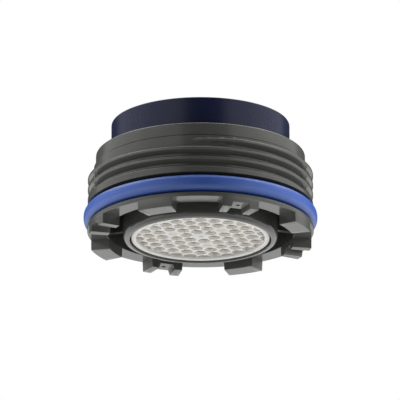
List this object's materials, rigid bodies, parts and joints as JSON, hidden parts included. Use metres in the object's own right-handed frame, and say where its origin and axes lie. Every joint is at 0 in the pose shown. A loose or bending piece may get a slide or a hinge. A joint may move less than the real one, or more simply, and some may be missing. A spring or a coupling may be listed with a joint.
{
  "type": "tap aerator",
  "caption": "Recessed threaded tap aerator cartridge with a sealing ring, a toothed key crown, a honeycomb outlet and a raised inlet cup with a filter screen.",
  "frame": {"origin": "centre of the plane of the crown teeth's lower faces, on which the cartridge stands", "axes": "+Z along the cartridge's axis, up into the spout and against the flow; +X and +Y across it, with +X 21 degrees before the first forked tooth"},
  "size_m": [0.0228, 0.0228, 0.0119],
  "materials": {
    "housing_grey": "satin moulded dark grey plastic",
    "seal_blue": "smooth blue elastomer",
    "outlet_white": "off-white moulded plastic",
    "grid_white": "off-white moulded plastic",
    "cup_navy": "semi-gloss navy moulded plastic",
    "regulator_grey": "grey moulded plastic",
    "regulator_rubber": "black elastomer",
    "screen_navy": "satin navy moulded plastic"
  },
  "bodies": {
    "root": {"threaded_housing": "housing_grey", "seal_ring": "seal_blue", "honeycomb_outlet": "outlet_white", "mixing_grid_lower": "grid_white", "mixing_grid_upper": "grid_white", "jet_splitter": "cup_navy", "regulator_body": "regulator_grey", "regulator_ring": "regulator_rubber", "filter_screen": "screen_navy"}
  },
  "joints": []
}
